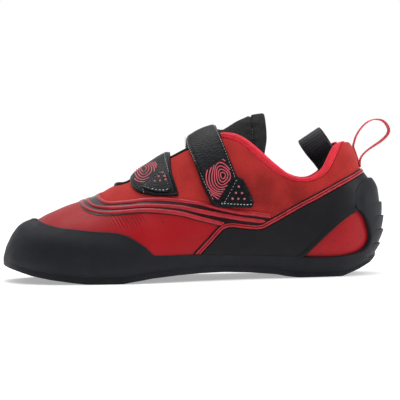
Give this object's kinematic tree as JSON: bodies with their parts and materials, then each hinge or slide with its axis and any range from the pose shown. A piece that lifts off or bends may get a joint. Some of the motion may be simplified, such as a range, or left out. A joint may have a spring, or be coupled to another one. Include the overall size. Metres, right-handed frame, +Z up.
{
  "type": "climbing shoe",
  "caption": "Low climbing shoe for a left foot: hollow upper with padded collar and tongue, hook-and-loop straps, rubber sole, toe rand, ribbed heel cup and pull loops.",
  "frame": {"origin": "on the floor, under the middle of the shoe's box", "axes": "toe towards -X, heel towards +X, the outer (little toe) side towards -Y, +Z up"},
  "size_m": [0.2568, 0.0968, 0.1062],
  "materials": {
    "rubber": "smooth black climbing rubber",
    "lining": "dark woven lining",
    "suede": "orange red suede",
    "leather": "red satin leather",
    "panel": "smooth matt black synthetic leather",
    "tongue": "black woven fabric",
    "knit": "bright red knit tape",
    "strap": "black grained leather",
    "webbing": "black ribbed webbing"
  },
  "bodies": {
    "root": {"outsole": "rubber", "insole": "lining", "upper": "suede", "toe_rand": "rubber", "heel_rand": "rubber", "side_panel": "panel", "panel_trim": "leather", "vamp_piping_top": "leather", "vamp_piping_middle": "leather", "vamp_piping_low": "leather", "tongue": "tongue", "collar_binding": "knit", "strap_front": "strap", "strap_rear": "strap", "heel_loop": "knit", "inner_loop": "webbing"}
  },
  "joints": []
}
